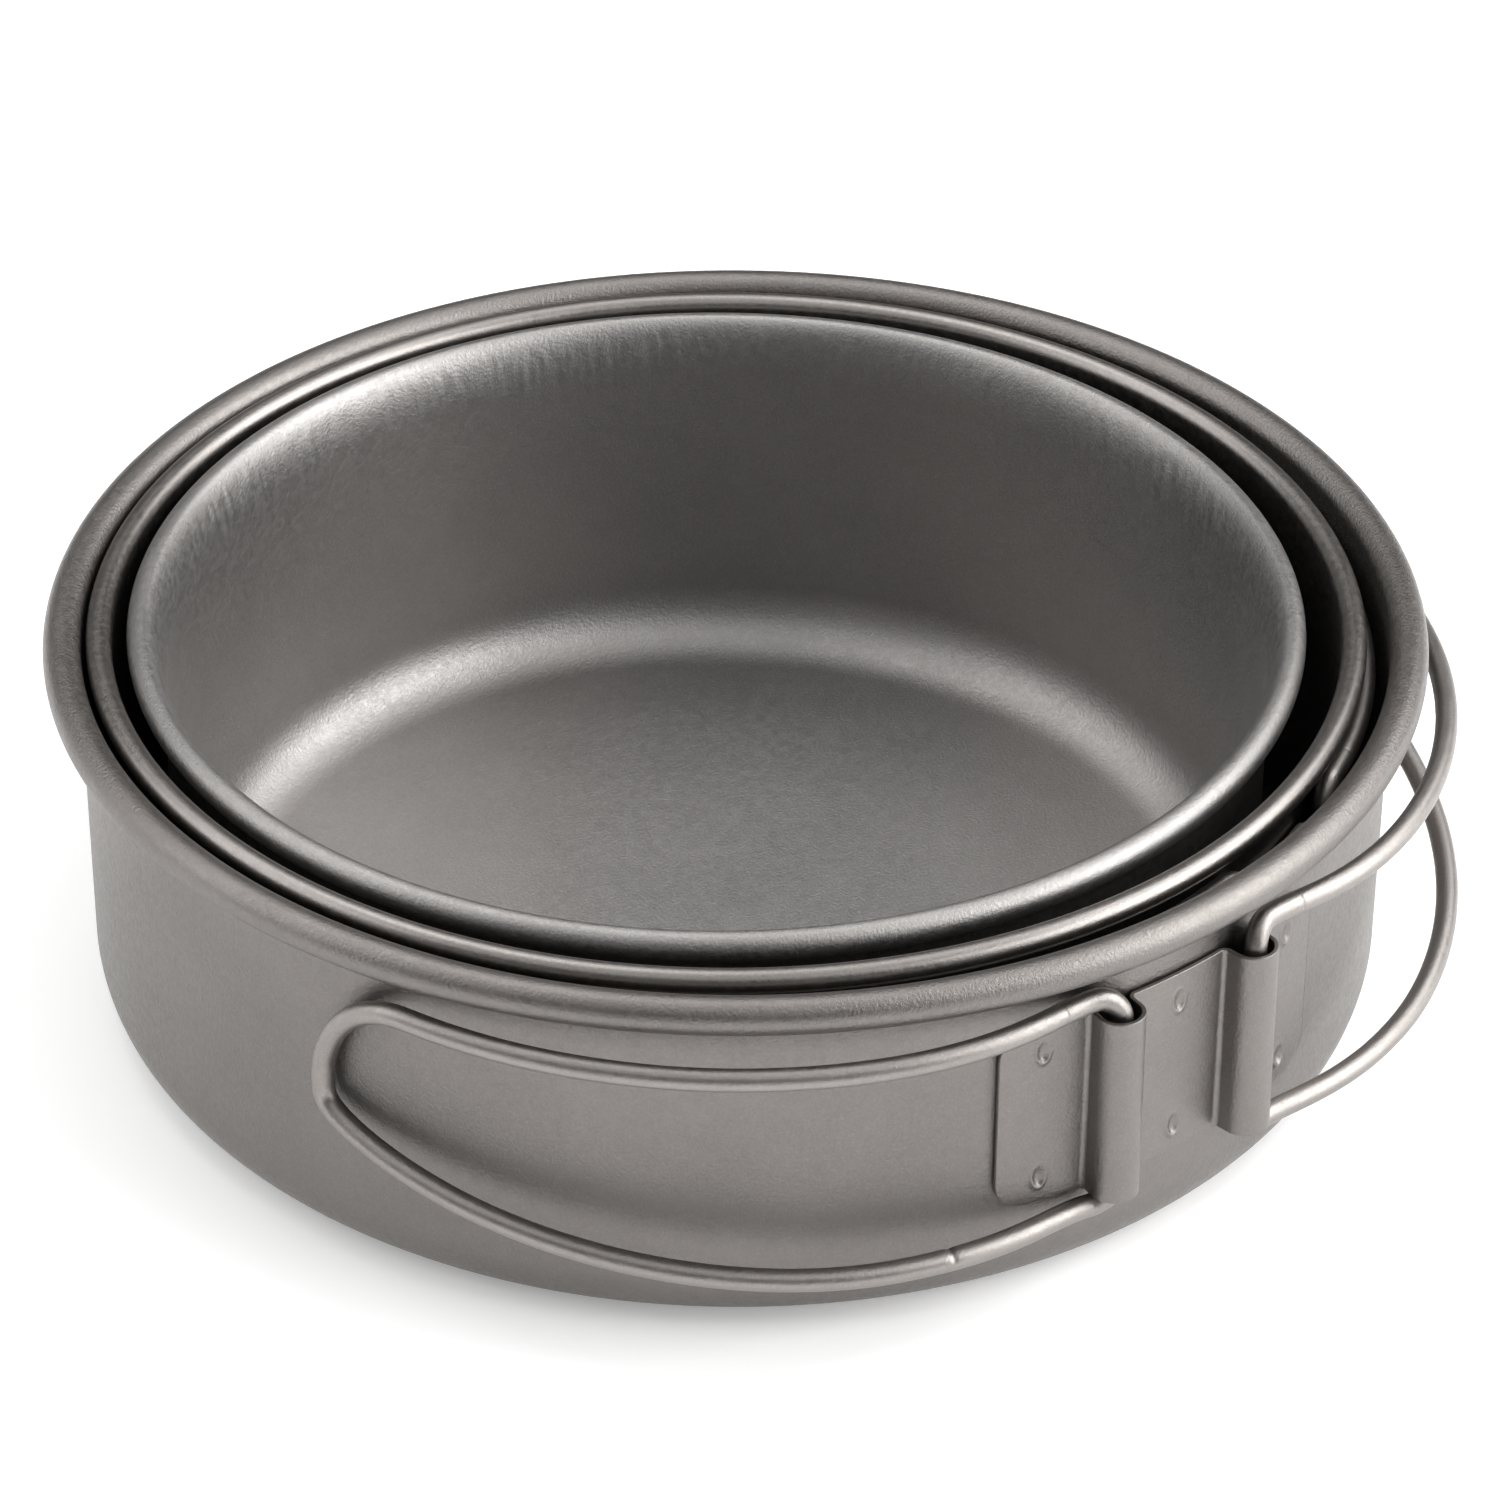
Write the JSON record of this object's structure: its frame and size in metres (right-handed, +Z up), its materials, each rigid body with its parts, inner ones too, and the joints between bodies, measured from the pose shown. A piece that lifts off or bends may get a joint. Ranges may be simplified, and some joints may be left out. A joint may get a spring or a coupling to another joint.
{
  "type": "nesting cooking pot set",
  "caption": "Nesting round camping pots of bare titanium sheet with rolled rims, and folding wire handles hinged in sheet brackets",
  "frame": {"origin": "centre of the large pot's flat base, on the surface it stands on", "axes": "+Z up along the pots' axes, -Y from the large pot's centre towards its own bracket and handles"},
  "size_m": [0.185, 0.1857, 0.0548],
  "materials": {
    "large_pot_titanium": "bare titanium, matt bead-blasted grey with a fine grain",
    "large_bracket_titanium": "bare titanium sheet, satin grey",
    "large_handle_left_titanium": "bare titanium wire, satin grey with faint draw lines",
    "large_handle_right_titanium": "bare titanium wire, satin grey with faint draw lines",
    "medium_pot_titanium": "bare titanium, matt bead-blasted grey with a fine grain",
    "medium_bracket_titanium": "bare titanium sheet, satin grey",
    "medium_handle_left_titanium": "bare titanium wire, satin grey with faint draw lines",
    "medium_handle_right_titanium": "bare titanium wire, satin grey with faint draw lines",
    "small_pot_titanium": "bare titanium, matt bead-blasted grey with a fine grain"
  },
  "bodies": {
    "large_pot": {"large_pot_shell": "large_pot_titanium", "large_bracket": "large_bracket_titanium"},
    "large_handle_left": {"large_handle_left": "large_handle_left_titanium"},
    "large_handle_right": {"large_handle_right": "large_handle_right_titanium"},
    "medium_pot": {"medium_pot_shell": "medium_pot_titanium", "medium_bracket": "medium_bracket_titanium"},
    "medium_handle_left": {"medium_handle_left": "medium_handle_left_titanium"},
    "medium_handle_right": {"medium_handle_right": "medium_handle_right_titanium"},
    "small_pot": {"small_pot_shell": "small_pot_titanium"}
  },
  "joints": [
    {"name": "large_handle_left_hinge", "type": "hinge", "parent": "large_pot", "child": "large_handle_left", "pos_m": [-0.01142, -0.09028, 0.0297], "axis": [0, 0, 1], "range_deg": [0, 118]},
    {"name": "large_handle_right_hinge", "type": "hinge", "parent": "large_pot", "child": "large_handle_right", "pos_m": [0.01142, -0.09028, 0.0297], "axis": [0, 0, -1], "range_deg": [0, 114]},
    {"name": "medium_lift", "type": "slide", "parent": "large_pot", "child": "medium_pot", "axis": [0, 0, 1], "range_m": [0, 0.08]},
    {"name": "medium_handle_left_hinge", "type": "hinge", "parent": "medium_pot", "child": "medium_handle_left", "pos_m": [0.01641, -0.08205, 0.0305], "axis": [0, 0, 1], "range_deg": [-0.5, 0.5]},
    {"name": "medium_handle_right_hinge", "type": "hinge", "parent": "medium_pot", "child": "medium_handle_right", "pos_m": [0.03785, -0.07463, 0.0305], "axis": [0, 0, -1], "range_deg": [-0.5, 0.5]},
    {"name": "small_lift", "type": "slide", "parent": "medium_pot", "child": "small_pot", "axis": [0, 0, 1], "range_m": [0, 0.08]}
  ]
}
